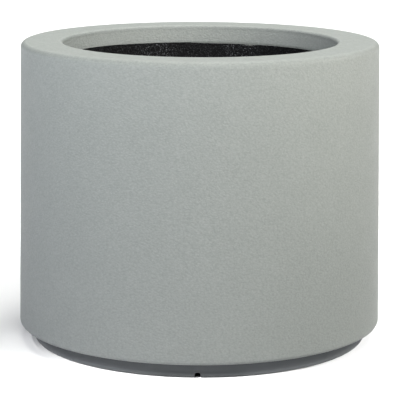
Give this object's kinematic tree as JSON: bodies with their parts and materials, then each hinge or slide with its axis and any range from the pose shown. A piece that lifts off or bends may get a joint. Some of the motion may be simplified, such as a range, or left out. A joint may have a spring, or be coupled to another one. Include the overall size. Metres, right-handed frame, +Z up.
{
  "type": "round planter",
  "caption": "Round double-walled fibreglass planter, wider than tall, with a wide flat rim, black liner, recessed notched foot and a central drain with a lift-out plug.",
  "frame": {"origin": "on the floor, at the middle of the foot", "axes": "+Z up along the planter's own axis, towards the opening; -Y is the front, where the pictured drain notch is; +X to the right seen from the front"},
  "size_m": [0.615, 0.615, 0.508],
  "materials": {
    "textured_paint": "pebbled satin paint on glass-fibre laminate",
    "black_flowcoat": "rough black flow coat, glossy in specks",
    "foot_paint": "smooth satin paint on glass-fibre laminate",
    "bare_laminate": "bare glass-fibre laminate",
    "plywood": "marine plywood",
    "foam_core": "closed-cell foam, laminated over",
    "black_nylon": "moulded nylon",
    "black_rubber": "matt rubber",
    "stainless_steel": "drawn stainless wire"
  },
  "bodies": {
    "planter": {"outer_shell": "textured_paint", "inner_liner": "black_flowcoat", "lip_joint_band": "bare_laminate", "rim_core": "plywood", "wall_hoop_upper": "foam_core", "wall_hoop_lower": "foam_core", "base_panel": "bare_laminate", "floor_core": "plywood", "foot_ring": "foot_paint", "drain_spigot": "black_nylon", "drain_gasket": "black_rubber", "drain_washer": "black_rubber", "drain_nut": "black_nylon"},
    "plug": {"drain_plug": "black_rubber"},
    "ring": {"pull_ring": "stainless_steel"}
  },
  "joints": [
    {"name": "plug_lift", "type": "slide", "parent": "planter", "child": "plug", "axis": [0, 0, 1], "range_m": [0, 0.46]},
    {"name": "ring_swing", "type": "hinge", "parent": "plug", "child": "ring", "pos_m": [0, 0, 0.079], "axis": [-1, 0, 0], "range_deg": [0, 221]}
  ]
}
